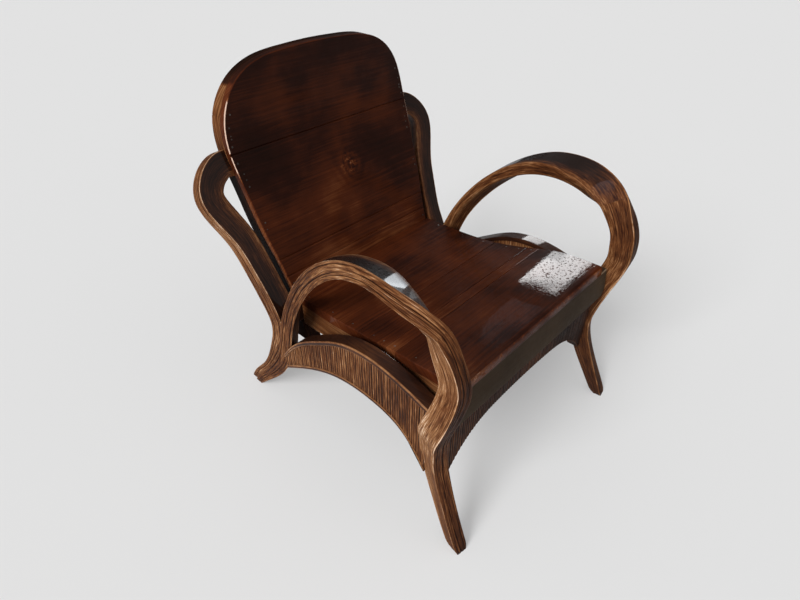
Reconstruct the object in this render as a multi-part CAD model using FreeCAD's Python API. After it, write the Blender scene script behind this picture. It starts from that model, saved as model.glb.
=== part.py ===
import FreeCAD, Part
import math
import os
from FreeCAD import Vector

# A low lounge armchair in dark hardwood. Two bent arm loops run from the rear
# feet over the armrests into the front legs and make a quarter twist on the way.
# Two bent rear uprights end in open loops beside a curved plank back.
# Millimetres. X is left (+) and right (-) of the sitter, the front faces -Y, Z is up.
# The work is done with Y = 0 at the front feet, and the last step moves the
# chair so that the origin lies on the floor under the middle of the whole.

# Overall sizes
frame_half_width = 320.0
frame_depth = 720.0
seat_height = 384.0
arm_height = 588.0
back_height = 800.0

# Arm loops and front legs
arm_face_width = 48.0
arm_rest_width = 65.0
arm_reeds = 3
groove_depth = 2.4

# Rear uprights
upright_width = 45.0
upright_thickness = 33.0
upright_reeds = 3
upright_lean = 23.7

# Seat
board_thickness = 22.0
seam_gap = 0.6
nose_radius = 9.0
seat_rail_thickness = 20.0
seat_rail_inset = 5.0
seat_rail_depth_front = 38.0
seat_rail_depth_rear = 63.0
bearer_width = 40.0
bearer_depth = 30.0

# Front
fascia_thickness = 26.0
fascia_height = 76.0
fascia_belly = 8.0
front_apron_thickness = 30.0
front_apron_setback = 8.0
apron_reed_pitch = 16.0
apron_groove_depth = 1.7

# Side aprons
side_apron_thickness = 26.0
cap_thickness = 12.0
cap_overhang = 4.0
bead_height = 9.0
bead_overhang = 2.5

# Back
back_board_thickness = 16.0
hoop_depth = 31.0
hoop_width = 34.0
back_lean_lower = 20.5
back_lean_upper = 3.0
back_bend_radius = 300.0
batten_width = 45.0
batten_thickness = 18.0

# Rear cross rail
rear_rail_thickness = 28.0
rear_rail_height = 48.0

# Joints
tenon_length = 14.0
tenon_thickness = 12.0
tenon_height_share = 0.6
tongue_length = 36.0
tongue_width = 30.0
tongue_thickness = 10.0
joint_clearance = 0.15
# Cutting shapes run on past the pieces, a little way or past the whole chair
overrun = 60.0
beyond = 1600.0

# Degree of the smooth surfaces between the sections of a bent limb
loft_degree = 2

# Stations of an arm loop, from under the rear toe to under the front foot.
# Each holds: shares of the half width, depth and height of the ridge between the
# reeded face and the armrest face, then the roll in degrees. The reeded face has
# a share of its full width. The armrest face and the underside have shares of the
# full rest width, and the inner edge is lifted by a share of the reeded face.
# A height share up to 1 is of the seat height, the rest runs on to the arm height.
arm_station_shares = (
    (0.906, 0.990, -0.045, 0, 0.36, 0.49, 0.49, 0.10),
    (0.906, 0.944, 0.073, 0, 0.48, 0.50, 0.50, 0.12),
    (0.906, 0.876, 0.219, 0, 0.62, 0.51, 0.51, 0.16),
    (0.906, 0.788, 0.455, 0, 0.84, 0.52, 0.52, 0.25),
    (0.906, 0.744, 0.724, 0, 0.83, 0.51, 0.51, 0.33),
    (0.909, 0.658, 1.113, 0, 0.77, 0.49, 0.49, 0.40),
    (0.925, 0.594, 1.402, 0, 0.76, 0.51, 0.51, 0.32),
    (0.947, 0.517, 1.657, 3, 0.74, 0.56, 0.56, 0.20),
    (0.969, 0.421, 1.872, 10, 0.69, 0.70, 0.70, 0.05),
    (0.987, 0.347, 1.966, 17, 0.64, 0.85, 0.85, -0.02),
    (0.997, 0.278, 1.990, 24, 0.58, 0.97, 0.97, 0.01),
    (0.998, 0.214, 1.968, 33, 0.59, 1.00, 1.00, 0.02),
    (0.978, 0.160, 1.915, 43, 0.61, 1.00, 0.98, -0.02),
    (0.950, 0.119, 1.845, 54, 0.60, 0.97, 0.90, -0.05),
    (0.925, 0.090, 1.760, 62, 0.58, 0.92, 0.83, -0.03),
    (0.909, 0.072, 1.660, 72, 0.60, 0.88, 0.77, 0.00),
    (0.902, 0.053, 1.520, 83, 0.59, 0.85, 0.72, 0.00),
    (0.897, 0.035, 1.353, 86, 0.61, 0.84, 0.70, 0.00),
    (0.891, 0.029, 1.186, 86, 0.70, 0.82, 0.70, 0.00),
    (0.919, 0.033, 1.005, 83, 0.69, 0.80, 0.72, 0.00),
    (0.934, 0.048, 0.898, 82, 0.65, 0.79, 0.76, 0.00),
    (0.920, 0.068, 0.781, 80, 0.68, 0.77, 0.80, 0.00),
    (0.872, 0.086, 0.651, 76, 0.67, 0.72, 0.80, 0.00),
    (0.844, 0.093, 0.521, 74, 0.67, 0.66, 0.76, 0.00),
    (0.847, 0.079, 0.404, 72, 0.64, 0.61, 0.72, 0.00),
    (0.859, 0.051, 0.260, 74, 0.62, 0.53, 0.59, 0.00),
    (0.870, 0.019, 0.117, 78, 0.62, 0.45, 0.47, 0.00),
    (0.875, -0.008, -0.005, 82, 0.62, 0.38, 0.37, 0.00),
    (0.878, -0.020, -0.060, 82, 0.62, 0.37, 0.35, 0.00),
)
scarf_station = 14
leg_block_share = 0.90

# Loop of a rear upright, in the plane of the back: shares of the half width and
# of the height of its front outer edge, then of its width and thickness.
upright_loop_shares = (
    (0.770, 1.597, 1.25, 1.00),
    (0.859, 1.597, 1.22, 1.00),
    (0.944, 1.572, 1.20, 1.00),
    (1.012, 1.529, 1.17, 1.00),
    (1.056, 1.480, 1.15, 1.00),
    (1.076, 1.423, 1.14, 1.02),
    (1.066, 1.366, 1.14, 1.06),
    (1.023, 1.284, 1.13, 1.18),
    (0.969, 1.185, 1.10, 1.28),
    (0.935, 1.065, 1.06, 1.36),
    (0.902, 0.860, 1.05, 1.42),
)
# Foot of a rear upright: shares of the half width, depth and height, then of
# its width and thickness.
upright_foot_shares = (
    (0.899, 0.744, 0.724, 1.07, 1.34),
    (0.893, 0.788, 0.455, 0.97, 0.94),
    (0.893, 0.876, 0.219, 0.84, 0.54),
    (0.893, 0.944, 0.073, 0.78, 0.55),
    (0.893, 0.990, -0.045, 0.74, 0.46),
)

# Outline of the back seen from the front: shares of the half width and height.
back_outline_shares = (
    (0.700, 0.700),
    (0.712, 0.860),
    (0.728, 1.004),
    (0.762, 1.170),
    (0.787, 1.375),
    (0.806, 1.567),
    (0.794, 1.700),
    (0.740, 1.820),
    (0.634, 1.915),
    (0.469, 1.974),
    (0.234, 1.995),
    (0.000, 2.000),
)
back_foot_y_share = 0.768
back_foot_z_share = 0.820
back_bend_z_share = 1.640
hoop_foot_z_share = 0.505
board_seam_shares = (0.943, 1.040, 1.580)
batten_level_shares = (1.240, 1.500)
hoop_joint_share = 1.745
# The hoop's depth at its foot, at the start, middle and end of the bend and past
# the top: shares of the hoop depth.
hoop_depth_shares = (1.48, 1.00, 1.00, 0.97, 0.30)

# Seat seen from the side: shares of the depth and of the seat height.
seat_top_shares = (
    (0.090, 0.998),
    (0.195, 0.991),
    (0.289, 0.964),
    (0.376, 0.925),
    (0.472, 0.892),
    (0.579, 0.872),
    (0.680, 0.866),
    (0.800, 0.865),
)
# Seat seen from above: shares of the half width and of the depth.
seat_plan_shares = (
    (0.800, 0.090),
    (0.800, 0.230),
    (0.770, 0.345),
    (0.742, 0.470),
    (0.726, 0.765),
)
seat_seam_shares = (0.308, 0.348, 0.468)
bearer_place_shares = (0.330, 0.560)

# Side apron seen from the side: shares of the depth and of the seat height.
apron_top_shares = (
    (0.745, 0.500),
    (0.678, 0.656),
    (0.551, 0.824),
    (0.450, 0.920),
    (0.340, 0.952),
    (0.208, 0.910),
    (0.085, 0.830),
)
apron_bottom_shares = (
    (0.745, 0.390),
    (0.615, 0.536),
    (0.485, 0.636),
    (0.351, 0.654),
    (0.240, 0.596),
    (0.150, 0.400),
)
apron_face_share = 0.910

# Front apron seen from the front: shares of the half width and seat height.
front_arch_shares = (
    (0.000, 0.598),
    (0.280, 0.590),
    (0.480, 0.565),
    (0.630, 0.507),
    (0.730, 0.437),
    (0.840, 0.320),
)
fascia_y_share = 0.096
fascia_half_share = 0.900
# Front of the fascia from its top: shares of its height and of its belly
fascia_curve_shares = ((1.00, 0.00), (0.50, 0.75), (0.20, 1.00), (0.00, 0.75))

def limit(share, top):
    # Height of a share: up to the seat height, then on towards the given top.
    if share <= 1:
        return share * seat_height
    return seat_height + (share - 1) * (top - seat_height)

def across(share):
    return share * frame_half_width

def along(share):
    return share * frame_depth

def smooth_edge(points):
    curve = Part.BSplineCurve()
    curve.interpolate(points)
    return curve.toShape()

def block(corner_a, corner_b):
    size = corner_b - corner_a
    return Part.makeBox(size.x, size.y, size.z, corner_a)

def mirrored(shape):
    return shape.mirror(Vector(0, 0, 0), Vector(1, 0, 0))

def largest(shape):
    return max(shape.Solids, key=lambda solid: solid.Volume)

def above_floor(shape):
    ground = block(Vector(-beyond, -beyond, -beyond), Vector(beyond, beyond, 0))
    return largest(shape.cut(ground))

def directions(points):
    # Unit tangents of the smooth line through the points, one for each point.
    curve = Part.BSplineCurve()
    curve.interpolate(points)
    return [curve.tangent(curve.parameter(point))[0] for point in points]

def groove_points(start, end, depth, count):
    # Reeds from start to end, each a low ridge between two V valleys.
    step = (end - start) / count
    points = [start]
    for index in range(count):
        valley = start + step * index
        points.append(valley + step / 2)
        points.append(valley + step + depth)
    points[-1] = end
    return points

def reeded_section(ridge, face_out, rest_out, face, rest, under, lift, reeds):
    # Closed section: reeded face, underside, inner face and rest face in turn.
    face_end = ridge - rest_out * face
    points = groove_points(ridge, face_end, face_out * -groove_depth, reeds)
    points.append(face_end - face_out * under + rest_out * lift)
    points.append(ridge - face_out * rest)
    points.append(ridge)
    return Part.makePolygon(points)

def arm_frames():
    # Ridge point, direction, outward ways of the reeded face and the armrest
    # face, and the row of shares, for each station of the limb.
    points = [Vector(across(row[0]), along(row[1]), limit(row[2], arm_height))
              for row in arm_station_shares]
    frames = []
    for point, tangent, row in zip(points, directions(points), arm_station_shares):
        roll = math.radians(row[3])
        side = Vector(1, 0, 0) - tangent * tangent.x
        side.normalize()
        outside = tangent.cross(side)
        face_out = side * math.cos(roll) + outside * math.sin(roll)
        rest_out = outside * math.cos(roll) - side * math.sin(roll)
        frames.append((point, tangent, face_out, rest_out, row))
    return frames

def arm_limb():
    # The whole loop and front leg in one smooth body, before the scarf is cut.
    sections = []
    for point, tangent, face_out, rest_out, row in arm_frames():
        sections.append(reeded_section(point, face_out, rest_out, row[4] * arm_face_width,
                                       row[5] * arm_rest_width, row[6] * arm_rest_width,
                                       row[7] * arm_face_width, arm_reeds))
    return above_floor(Part.makeLoft(sections, True, False, False, loft_degree))

def scarf_frame():
    # Middle of the scarf joint, the limb's direction there and the way across it.
    point, tangent, face_out, rest_out, row = arm_frames()[scarf_station]
    middle = point - face_out * (row[5] * arm_rest_width / 2)
    middle = middle - rest_out * (row[4] * arm_face_width / 2)
    return middle, tangent, face_out

def scarf_box(width, depth, start, end):
    # Box across the limb at the scarf, its length along the limb.
    middle, tangent, face_out = scarf_frame()
    shape = Part.makeBox(width, depth, end - start, Vector(-width / 2, -depth / 2, start))
    turn = FreeCAD.Rotation(face_out, Vector(0, 0, 0), tangent, "ZXY")
    shape.Placement = FreeCAD.Placement(middle, turn)
    return shape

def leg_side_block():
    # Everything of a limb beyond the scarf lies in this block.
    width = arm_height * leg_block_share
    return scarf_box(width, width, 0, arm_height)

def scarf_tongue(clearance):
    # Loose tongue in a slot of each half of the scarf joint, grown by a clearance.
    reach = tongue_length / 2 + clearance
    return scarf_box(tongue_width + 2 * clearance, tongue_thickness + 2 * clearance, -reach, reach)

def upright_plane_y(height):
    # The loop lies in a plane that leans back from the foot's first station.
    foot = upright_foot_shares[0]
    rise = height - limit(foot[2], back_height)
    return along(foot[1]) + rise * math.tan(math.radians(upright_lean))

def upright():
    rows = []
    for width, height, wide, thick in upright_loop_shares:
        level = limit(height, back_height)
        rows.append((Vector(across(width), upright_plane_y(level), level), wide, thick))
    for width, depth, height, wide, thick in upright_foot_shares:
        rows.append((Vector(across(width), along(depth), limit(height, back_height)), wide, thick))
    lean = math.radians(upright_lean)
    plane_front = Vector(0, -math.cos(lean), math.sin(lean))
    sections = []
    for row, tangent in zip(rows, directions([row[0] for row in rows])):
        front = plane_front - tangent * plane_front.dot(tangent)
        front.normalize()
        width = row[1] * upright_width
        sections.append(reeded_section(row[0], front.cross(tangent), front,
                                       row[2] * upright_thickness, width, width, 0,
                                       upright_reeds))
    return above_floor(Part.makeLoft(sections, True, False, False, loft_degree))

def side_prism(top, bottom, start, end):
    # Closed side view between two smooth lines of points, made solid from start to end.
    shift = Vector(start - top[0].x, 0, 0)
    top = [point + shift for point in top]
    bottom = [point + shift for point in bottom]
    edges = [smooth_edge(top), Part.makeLine(top[-1], bottom[-1]),
             smooth_edge(bottom), Part.makeLine(bottom[0], top[0])]
    face = Part.Face(Part.Wire(Part.__sortEdges__(edges)))
    return face.extrude(Vector(end - start, 0, 0)).toNurbs()

def lowered(points, drop):
    return [point - Vector(0, 0, drop) for point in points]

def side_points(shares):
    return [Vector(0, along(depth), height * seat_height) for depth, height in shares]

def seat_slab(top_drop, bottom_drop):
    top = side_points(seat_top_shares)
    return side_prism(lowered(top, top_drop), lowered(top, bottom_drop),
                      -frame_half_width, frame_half_width)

def seat_plan(inset):
    # Upright prism over the seat's outline, with its side edges moved in by inset.
    left = [Vector(across(width) - inset, along(depth), 0) for width, depth in seat_plan_shares]
    right = [Vector(-point.x, point.y, 0) for point in left]
    outline = left + right[::-1] + [left[0]]
    return Part.Face(Part.makePolygon(outline)).extrude(Vector(0, 0, back_height))

def depth_band(start, end):
    return block(Vector(-frame_half_width, start, 0), Vector(frame_half_width, end, back_height))

def height_band(start, end):
    return block(Vector(-frame_half_width, 0, start), Vector(frame_half_width, beyond, end))

def seat_boards():
    # Board by board from the front: a broad one with a round nose, a strip and two more.
    slab = seat_slab(0, board_thickness).common(seat_plan(0)).cut(even_slab(0, beyond))
    front = along(seat_plan_shares[0][1])
    seams = [along(share) for share in seat_seam_shares]
    starts = [front - overrun] + [seam + seam_gap / 2 for seam in seams]
    ends = [seam - seam_gap / 2 for seam in seams] + [frame_depth]
    boards = [largest(slab.common(depth_band(*band))) for band in zip(starts, ends)]
    nose = []
    for edge in boards[0].Edges:
        middle = edge.BoundBox.Center
        along_x = edge.BoundBox.XLength > frame_half_width
        upper = middle.z > seat_height - board_thickness / 2
        if along_x and upper and abs(middle.y - front) < seam_gap:
            nose.append(edge)
    boards[0] = boards[0].makeFillet(nose_radius, nose)
    return boards

def seat_rail():
    top = lowered(side_points(seat_top_shares), board_thickness)
    slope = (seat_rail_depth_rear - seat_rail_depth_front) / (top[-1].y - top[0].y)
    bottom = []
    for point in top:
        depth = seat_rail_depth_front + slope * (point.y - top[0].y)
        bottom.append(point - Vector(0, 0, depth))
    slab = side_prism(top, bottom, 0, frame_half_width)
    outer = seat_plan(seat_rail_inset)
    inner = seat_plan(seat_rail_inset + seat_rail_thickness)
    start = along(fascia_y_share) + fascia_thickness
    strip = slab.common(outer).cut(inner)
    return largest(strip.common(depth_band(start, rear_rail_front())))

def rear_rail_front():
    return back_point(0, board_foot()).y - rear_rail_thickness + back_board_thickness / 2

def rear_rail_top():
    # The rear seat board rests on the cross rail.
    return seat_top_shares[-1][1] * seat_height - board_thickness - seam_gap / 2

def board_foot():
    return limit(back_foot_z_share, back_height)

def back_point(offset, level):
    # Point on the lower straight run of the back, offset behind its front face.
    lean = math.radians(back_lean_lower)
    start = Vector(0, along(back_foot_y_share), board_foot())
    rise = level - start.z
    face = start + Vector(0, rise * math.tan(lean), rise)
    return face + Vector(0, offset / math.cos(lean), 0)

def bend_centre():
    # Middle of the bend of the back, with the two leans as angles.
    low = math.radians(back_lean_lower)
    high = math.radians(back_lean_upper)
    corner = back_point(0, limit(back_bend_z_share, back_height))
    reach = back_bend_radius * math.tan((low - high) / 2)
    start = corner - Vector(0, math.sin(low), math.cos(low)) * reach
    centre = start - Vector(0, math.cos(low), -math.sin(low)) * back_bend_radius
    return centre, low, high

def back_at(lean, level=None):
    # Point of the back's front face where it has this lean, or on the straight run
    # from there at a height, with the way out behind the face.
    centre = bend_centre()[0]
    out = Vector(0, math.cos(lean), -math.sin(lean))
    point = centre + out * back_bend_radius
    if level is not None:
        point = point + Vector(0, math.tan(lean), 1) * (level - point.z)
    return point, out

def back_stations():
    # The foot, the start, middle and end of the bend and a point past the top.
    centre, low, high = bend_centre()
    return [back_at(low, limit(hoop_foot_z_share, back_height)), back_at(low),
            back_at((low + high) / 2), back_at(high), back_at(high, back_height + overrun)]

def side_line(offsets):
    # Side view of a face behind the front face, with its two ends.
    points = [point + out * offset for (point, out), offset in zip(back_stations(), offsets)]
    edges = [Part.makeLine(points[0], points[1]),
             Part.Arc(points[1], points[2], points[3]).toShape(),
             Part.makeLine(points[3], points[-1])]
    return edges, points[0], points[-1]

def even_line(offset):
    return side_line([offset] * len(hoop_depth_shares))

def hoop_line():
    # The hoop's rear face, where the depth changes on the way up.
    return side_line([back_board_thickness + share * hoop_depth for share in hoop_depth_shares])

def back_slab(front, rear):
    # Solid between two side views over the whole width.
    front_edges, front_start, front_end = front
    rear_edges, rear_start, rear_end = rear
    edges = front_edges + [Part.makeLine(front_end, rear_end)] + rear_edges[::-1]
    edges.append(Part.makeLine(rear_start, front_start))
    shift = Vector(-frame_half_width, 0, 0)
    face = Part.Face(Part.Wire(Part.__sortEdges__(edges)))
    face.translate(shift)
    return face.extrude(shift * -2)

def back_outline(inset):
    # Prism over the back's outline seen from the front, all its edges moved in.
    half = [Vector(across(width), 0, limit(height, back_height))
            for width, height in back_outline_shares]
    points = half + [Vector(-point.x, 0, point.z) for point in half[-2::-1]]
    moved = []
    for point, tangent in zip(points, directions(points)):
        moved.append(point + Vector(0, -1, 0).cross(tangent) * inset)
    low_left = Vector(moved[-1].x, 0, 0)
    low_right = Vector(moved[0].x, 0, 0)
    edges = [smooth_edge(moved), Part.makeLine(moved[-1], low_left),
             Part.makeLine(low_left, low_right), Part.makeLine(low_right, moved[0])]
    return Part.Face(Part.Wire(edges)).extrude(Vector(0, beyond, 0)).toNurbs()

def even_slab(front_offset, rear_offset):
    return back_slab(even_line(front_offset), even_line(rear_offset))

def back_boards():
    panel = even_slab(0, back_board_thickness).common(back_outline(0))
    levels = [board_foot()] + [limit(share, back_height) for share in board_seam_shares]
    starts = [level + seam_gap / 2 for level in levels]
    ends = [level - seam_gap / 2 for level in levels[1:]] + [beyond]
    return [largest(panel.common(height_band(*band))) for band in zip(starts, ends)]

def whole_back(front_offset):
    # The back from a depth behind its front face to the hoop's rear face.
    return back_slab(even_line(front_offset), hoop_line())

def hoop():
    ring = back_outline(0).cut(back_outline(hoop_width))
    return whole_back(back_board_thickness).common(ring)

def hoop_pieces():
    # The top bow and the two sides meet at butt joints.
    whole = hoop()
    joint = limit(hoop_joint_share, back_height)
    top = largest(whole.common(height_band(joint + seam_gap / 2, beyond)))
    sides = whole.common(height_band(0, joint - seam_gap / 2))
    left = max(sides.Solids, key=lambda solid: solid.CenterOfMass.x)
    return top, left

def back_batten(share):
    level = limit(share, back_height)
    slab = even_slab(back_board_thickness, back_board_thickness + batten_thickness)
    band = height_band(level - batten_width / 2, level + batten_width / 2)
    return largest(slab.common(back_outline(hoop_width)).common(band))

def rear_rail_block():
    top = rear_rail_top()
    front = rear_rail_front()
    reach = across(upright_foot_shares[0][0]) - upright_width / 2
    return block(Vector(-reach, front, top - rear_rail_height),
                 Vector(reach, front + rear_rail_thickness, top))

def rear_tenon(clearance):
    # Tenon of the rear cross rail in the left upright, grown by a clearance.
    top = rear_rail_top()
    height = rear_rail_height * tenon_height_share
    low = top - (rear_rail_height + height) / 2
    middle = rear_rail_front() + rear_rail_thickness / 2
    inner = across(upright_foot_shares[0][0]) - upright_width * upright_foot_shares[0][3]
    grow = Vector(0, clearance, clearance)
    start = Vector(inner - tenon_length, middle - tenon_thickness / 2, low) - grow
    end = Vector(inner + tenon_length, middle + tenon_thickness / 2, low + height) + grow
    return block(start, end + Vector(clearance, 0, 0))

def fascia():
    front = along(fascia_y_share)
    back = front + fascia_thickness
    top = seat_height
    foot = seat_height - board_thickness - fascia_height
    half = across(fascia_half_share)
    rise = top - foot
    face = [Vector(0, front - fascia_belly * belly, foot + rise * height)
            for height, belly in fascia_curve_shares]
    edges = [smooth_edge(face), Part.makeLine(face[-1], Vector(0, back, foot)),
             Part.makeLine(Vector(0, back, foot), Vector(0, back, top)),
             Part.makeLine(Vector(0, back, top), face[0])]
    shape = Part.Face(Part.Wire(edges))
    shape.translate(Vector(-half, 0, 0))
    shape = shape.extrude(Vector(2 * half, 0, 0))
    return shape.cut(seat_slab(-board_thickness, board_thickness))

def apron_face_points(start, end, inward):
    count = round((end - start).Length / apron_reed_pitch)
    return groove_points(start, end, inward * apron_groove_depth, count)

def front_apron():
    # Arched rail below the fascia, with upright reeds on its front.
    front = along(fascia_y_share) + front_apron_setback
    half = across(fascia_half_share)
    top = seat_height - board_thickness - fascia_height
    start = Vector(-half, front, 0)
    end = Vector(half, front, 0)
    points = apron_face_points(start, end, Vector(0, 1, 0))
    points.append(end + Vector(0, front_apron_thickness, 0))
    points.append(start + Vector(0, front_apron_thickness, 0))
    points.append(start)
    body = Part.Face(Part.makePolygon(points)).extrude(Vector(0, 0, top))
    arch = [Vector(across(width), 0, height * seat_height) for width, height in front_arch_shares]
    arch = [Vector(-point.x, 0, point.z) for point in arch[:0:-1]] + arch
    low_left = Vector(-half, 0, arch[0].z)
    low_right = Vector(half, 0, arch[0].z)
    edges = [smooth_edge(arch), Part.makeLine(arch[-1], low_right),
             Part.makeLine(low_right, Vector(half, 0, 0)),
             Part.makeLine(Vector(half, 0, 0), Vector(-half, 0, 0)),
             Part.makeLine(Vector(-half, 0, 0), low_left),
             Part.makeLine(low_left, arch[0])]
    opening = Part.Face(Part.Wire(edges)).extrude(Vector(0, frame_depth, 0)).toNurbs()
    return body.cut(opening)

def apron_panel():
    # Arched side rail, with upright reeds on its outer face.
    outer = across(apron_face_share)
    inner = outer - side_apron_thickness
    top = lowered(side_points(apron_top_shares), cap_thickness)
    bottom = lowered(side_points(apron_bottom_shares), -bead_height)
    prism = side_prism(top, bottom, inner - overrun, outer + overrun)
    start = Vector(outer, top[-1].y, 0)
    end = Vector(outer, top[0].y, 0)
    points = apron_face_points(start, end, Vector(-1, 0, 0))
    points.append(Vector(inner, end.y, 0))
    points.append(Vector(inner, start.y, 0))
    points.append(start)
    body = Part.Face(Part.makePolygon(points)).extrude(Vector(0, 0, seat_height))
    return body.common(prism)

def apron_cap():
    outer = across(apron_face_share) + cap_overhang
    inner = across(apron_face_share) - side_apron_thickness - cap_overhang
    top = side_points(apron_top_shares)
    return side_prism(top, lowered(top, cap_thickness), inner, outer)

def apron_bead():
    outer = across(apron_face_share) + bead_overhang
    inner = across(apron_face_share) - side_apron_thickness
    bottom = side_points(apron_bottom_shares)
    return side_prism(lowered(bottom, -bead_height), bottom, inner, outer)

def bearer(share):
    middle = along(share)
    half = across(apron_face_share) - side_apron_thickness
    drop = board_thickness + seat_rail_depth_rear
    slab = seat_slab(drop, drop + bearer_depth)
    band = block(Vector(-half, middle - bearer_width / 2, 0),
                 Vector(half, middle + bearer_width / 2, seat_height))
    return slab.common(band)

def corner_block():
    back = along(fascia_y_share) + front_apron_setback + front_apron_thickness
    outer = across(apron_face_share) - side_apron_thickness
    top = seat_height - board_thickness - seat_rail_depth_rear
    size = bearer_width
    return block(Vector(outer - size, back, top - size), Vector(outer, back + size, top))

def build():
    # Every piece of the left side and middle, cut to its neighbours.
    pieces = {}
    limb = arm_limb()
    leg_side = leg_side_block()
    bow = largest(limb.cut(leg_side))
    leg = largest(limb.common(leg_side))
    slot = scarf_tongue(joint_clearance)
    bow = bow.cut(slot)
    leg = leg.cut(slot)
    panel_space = back_outline(0).common(whole_back(0))
    rear_leg = largest(upright().cut(bow).cut(panel_space).cut(rear_tenon(joint_clearance)))
    both_legs = leg.fuse(mirrored(leg))
    both_rear = rear_leg.fuse(mirrored(rear_leg))

    boards = seat_boards()
    pieces["seat_board_front"] = boards[0]
    pieces["seat_board_strip"] = boards[1]
    pieces["seat_board_middle"] = boards[2]
    pieces["seat_board_rear"] = boards[3]
    rail = seat_rail()

    hoop_top, hoop_side = hoop_pieces()
    backs = back_boards()
    pieces["back_board_foot"] = backs[0]
    pieces["back_board_lower"] = backs[1]
    pieces["back_board_middle"] = backs[2]
    pieces["back_board_top"] = backs[3]
    pieces["back_hoop_top"] = hoop_top
    pieces["back_batten_lower"] = back_batten(batten_level_shares[0])
    pieces["back_batten_upper"] = back_batten(batten_level_shares[1])

    tenon = rear_tenon(0)
    both_bows = bow.fuse(mirrored(bow))
    cross = rear_rail_block().cut(hoop_side).cut(mirrored(hoop_side)).cut(both_rear)
    cross = cross.cut(both_bows)
    pieces["rear_cross_rail"] = largest(cross.fuse(tenon).fuse(mirrored(tenon)).removeSplitter())

    front_board = largest(fascia().cut(both_legs))
    front_rail = largest(front_apron().cut(both_legs))
    pieces["front_fascia"] = front_board
    pieces["front_apron"] = front_rail
    pieces["seat_bearer_front"] = bearer(bearer_place_shares[0]).cut(rail).cut(mirrored(rail))
    pieces["seat_bearer_rear"] = bearer(bearer_place_shares[1]).cut(rail).cut(mirrored(rail))

    ends = bow.fuse(leg).fuse(rear_leg).fuse(front_board).fuse(front_rail)
    paired = {
        "arm_bow": bow,
        "front_leg": leg,
        "rear_upright": rear_leg,
        "seat_rail": rail,
        "back_hoop_side": hoop_side,
        "side_apron": largest(apron_panel().cut(ends)),
        "side_apron_cap": largest(apron_cap().cut(ends)),
        "side_apron_bead": largest(apron_bead().cut(ends)),
        "corner_block": corner_block(),
        "scarf_tongue": scarf_tongue(0),
    }
    for name, shape in paired.items():
        pieces[name + "_left"] = shape
        pieces[name + "_right"] = mirrored(shape)
    return pieces

def floor_centre(pieces):
    # Middle of the whole chair's plan, on the floor.
    whole = Part.makeCompound(list(pieces.values()))
    bounds = whole.optimalBoundingBox(False, False)
    return Vector(0, (bounds.YMin + bounds.YMax) / 2, 0)

def export(pieces):
    os.makedirs("parts", exist_ok=True)
    centre = floor_centre(pieces)
    for name, shape in pieces.items():
        placed = shape.copy()
        placed.translate(centre * -1)
        placed.exportStep("parts/" + name + ".step")
    print("pieces", len(pieces), "moved by", round(centre.y, 3))

if __name__ == "__main__":
    export(build())
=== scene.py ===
import math

import bmesh
import bpy
import numpy as np
from mathutils import Matrix, Vector


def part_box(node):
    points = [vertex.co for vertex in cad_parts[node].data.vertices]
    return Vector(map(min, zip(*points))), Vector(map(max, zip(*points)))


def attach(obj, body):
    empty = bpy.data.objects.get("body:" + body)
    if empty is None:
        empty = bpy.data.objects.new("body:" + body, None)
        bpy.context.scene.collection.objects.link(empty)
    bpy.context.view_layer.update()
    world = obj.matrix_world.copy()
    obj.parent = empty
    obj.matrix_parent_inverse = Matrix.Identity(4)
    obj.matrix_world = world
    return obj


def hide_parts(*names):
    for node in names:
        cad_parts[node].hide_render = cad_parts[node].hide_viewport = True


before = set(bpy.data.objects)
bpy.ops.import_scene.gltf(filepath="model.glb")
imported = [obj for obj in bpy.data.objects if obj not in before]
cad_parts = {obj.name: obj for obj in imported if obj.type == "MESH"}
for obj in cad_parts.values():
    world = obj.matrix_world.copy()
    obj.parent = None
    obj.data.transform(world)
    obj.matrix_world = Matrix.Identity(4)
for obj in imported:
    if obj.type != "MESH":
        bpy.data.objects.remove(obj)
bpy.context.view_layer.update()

# Main sizes in millimetres, as in the CAD source
half_width = 320.0
depth_all = 720.0
seat_height = 384.0
arm_height = 588.0
back_height = 800.0
centre_y = 360.862
SIDES = ((1, "left"), (-1, "right"))

arm_face = 48.0
arm_rest = 65.0
upright_width = 45.0
upright_thick = 33.0
upright_lean = math.radians(23.7)

board = 22.0
seam = 0.6
scarf_gap = 0.2
back_thick = 16.0
bend_radius = 300.0
hoop_depth = 31.0
hoop_width = 34.0
seat_rear_z = 332.0
fascia_thick = 26.0
fascia_high = 76.0
front_apron_thick = 30.0
rail_thick = 20.0
rail_high = 38.0
rail_gain = 25.0
panel_thick = 26.0
cap_high = 12.0
cap_thick = 34.0
cap_proud = 4.0
bead_high = 9.0
bead_thick = 28.5
bead_proud = 2.5
reed_pitch = 6.4

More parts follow.
